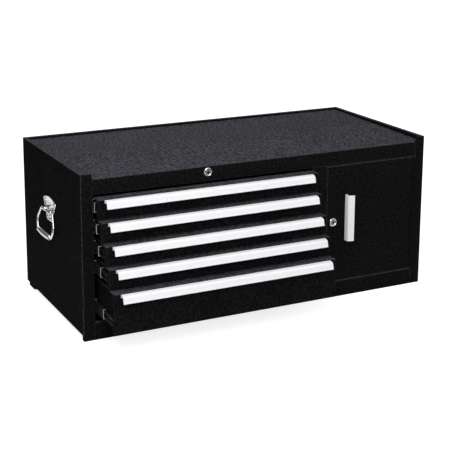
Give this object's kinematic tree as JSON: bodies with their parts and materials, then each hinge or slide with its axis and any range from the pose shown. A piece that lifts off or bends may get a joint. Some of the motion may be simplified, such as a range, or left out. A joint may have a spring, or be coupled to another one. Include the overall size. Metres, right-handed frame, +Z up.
{
  "type": "tool chest with drawers and a side cabinet",
  "caption": "Low steel tool chest: a stack of full-width-pull drawers on ball slides, a locking side cabinet, a rimmed top and swing handles.",
  "frame": {"origin": "on the floor, at the middle of the case's front edge", "axes": "+X to the chest's right as its front is seen, +Y to its back, +Z up; the drawers pull out along -Y"},
  "size_m": [1.0512, 0.6019, 0.4223],
  "materials": {
    "black_enamel": "baked wrinkle enamel, satin black",
    "bright_aluminium": "bright anodised",
    "zinc_steel": "zinc plated",
    "chrome_plate": "polished plate"
  },
  "bodies": {
    "case": {"left_side_panel": "black_enamel", "right_side_panel": "black_enamel", "back_panel": "black_enamel", "bottom_panel": "black_enamel", "top_panel": "black_enamel", "front_bottom_rail": "black_enamel", "divider_stile": "black_enamel", "divider_panel": "black_enamel", "base_front_rail": "black_enamel", "base_rear_rail": "black_enamel", "slide_uprights": "black_enamel", "slide_case_members": "zinc_steel", "hinge_case_leaf": "black_enamel", "hinge_pin": "zinc_steel", "drawer_lock_barrel": "chrome_plate", "lock_bar_guides": "zinc_steel", "left_handle_plate": "chrome_plate", "right_handle_plate": "chrome_plate", "handle_rivets": "chrome_plate"},
    "drawer_1": {"drawer_1_front": "black_enamel", "drawer_1_tray": "black_enamel", "drawer_1_pull": "bright_aluminium", "drawer_1_slide_inner": "zinc_steel"},
    "slide_1": {"drawer_1_slide_middle": "zinc_steel"},
    "drawer_2": {"drawer_2_front": "black_enamel", "drawer_2_tray": "black_enamel", "drawer_2_pull": "bright_aluminium", "drawer_2_slide_inner": "zinc_steel"},
    "slide_2": {"drawer_2_slide_middle": "zinc_steel"},
    "drawer_3": {"drawer_3_front": "black_enamel", "drawer_3_tray": "black_enamel", "drawer_3_pull": "bright_aluminium", "drawer_3_slide_inner": "zinc_steel"},
    "slide_3": {"drawer_3_slide_middle": "zinc_steel"},
    "drawer_4": {"drawer_4_front": "black_enamel", "drawer_4_tray": "black_enamel", "drawer_4_pull": "bright_aluminium", "drawer_4_slide_inner": "zinc_steel"},
    "slide_4": {"drawer_4_slide_middle": "zinc_steel"},
    "drawer_5": {"drawer_5_front": "black_enamel", "drawer_5_tray": "black_enamel", "drawer_5_pull": "bright_aluminium", "drawer_5_slide_inner": "zinc_steel"},
    "slide_5": {"drawer_5_slide_middle": "zinc_steel"},
    "door": {"door_skin": "black_enamel", "door_back": "black_enamel", "door_pull": "bright_aluminium", "hinge_door_leaf": "black_enamel", "door_lock_barrel": "chrome_plate"},
    "door_lock": {"door_lock_plug": "chrome_plate", "door_lock_cam": "zinc_steel"},
    "drawer_lock": {"drawer_lock_plug": "chrome_plate", "drawer_lock_rod": "zinc_steel"},
    "lock_bar": {"lock_bar": "zinc_steel", "lock_bar_hooks": "zinc_steel"},
    "left_bail": {"left_handle_bail": "chrome_plate", "left_handle_grip": "chrome_plate"},
    "right_bail": {"right_handle_bail": "chrome_plate", "right_handle_grip": "chrome_plate"}
  },
  "joints": [
    {"name": "drawer_1_slide", "type": "slide", "parent": "case", "child": "drawer_1", "axis": [0, -1, 0], "range_m": [-0.0283, 0.3717]},
    {"name": "slide_1_middle", "type": "slide", "parent": "case", "child": "slide_1", "axis": [0, -1, 0], "range_m": [-0.01415, 0.18585]},
    {"name": "drawer_2_slide", "type": "slide", "parent": "case", "child": "drawer_2", "axis": [0, -1, 0], "range_m": [-0.0501, 0.3499]},
    {"name": "slide_2_middle", "type": "slide", "parent": "case", "child": "slide_2", "axis": [0, -1, 0], "range_m": [-0.02505, 0.17495]},
    {"name": "drawer_3_slide", "type": "slide", "parent": "case", "child": "drawer_3", "axis": [0, -1, 0], "range_m": [-0.0756, 0.3244]},
    {"name": "slide_3_middle", "type": "slide", "parent": "case", "child": "slide_3", "axis": [0, -1, 0], "range_m": [-0.0378, 0.1622]},
    {"name": "drawer_4_slide", "type": "slide", "parent": "case", "child": "drawer_4", "axis": [0, -1, 0], "range_m": [-0.0961, 0.3039]},
    {"name": "slide_4_middle", "type": "slide", "parent": "case", "child": "slide_4", "axis": [0, -1, 0], "range_m": [-0.04805, 0.15195]},
    {"name": "drawer_5_slide", "type": "slide", "parent": "case", "child": "drawer_5", "axis": [0, -1, 0], "range_m": [-0.1247, 0.2753]},
    {"name": "slide_5_middle", "type": "slide", "parent": "case", "child": "slide_5", "axis": [0, -1, 0], "range_m": [-0.06235, 0.13765]},
    {"name": "door_hinge", "type": "hinge", "parent": "case", "child": "door", "pos_m": [0.46735, -0.0025, 0.20725], "axis": [0, 0, 1], "range_deg": [0, 170]},
    {"name": "door_lock_turn", "type": "hinge", "parent": "door", "child": "door_lock", "pos_m": [0.21035, 0, 0.21275], "axis": [0, 1, 0], "range_deg": [0, 90]},
    {"name": "drawer_lock_turn", "type": "hinge", "parent": "case", "child": "drawer_lock", "pos_m": [-0.16235, 0, 0.3934], "axis": [0, -1, 0], "range_deg": [0, 90]},
    {"name": "lock_bar_lift", "type": "slide", "parent": "case", "child": "lock_bar", "axis": [0, 0, 1], "range_m": [0, 0.00848]},
    {"name": "left_bail_swing", "type": "hinge", "parent": "case", "child": "left_bail", "pos_m": [-0.50805, 0.236, 0.275], "axis": [0, 1, 0], "range_deg": [0, 95]},
    {"name": "right_bail_swing", "type": "hinge", "parent": "case", "child": "right_bail", "pos_m": [0.50805, 0.236, 0.275], "axis": [0, -1, 0], "range_deg": [0, 95]}
  ],
  "couplings": [
    {"joint": "slide_1_middle", "follows": "drawer_1_slide", "ratio": 0.5},
    {"joint": "slide_2_middle", "follows": "drawer_2_slide", "ratio": 0.5},
    {"joint": "slide_3_middle", "follows": "drawer_3_slide", "ratio": 0.5},
    {"joint": "slide_4_middle", "follows": "drawer_4_slide", "ratio": 0.5},
    {"joint": "slide_5_middle", "follows": "drawer_5_slide", "ratio": 0.5},
    {"joint": "drawer_lock_turn", "follows": "lock_bar_lift", "rad_per_m": 185.12}
  ]
}
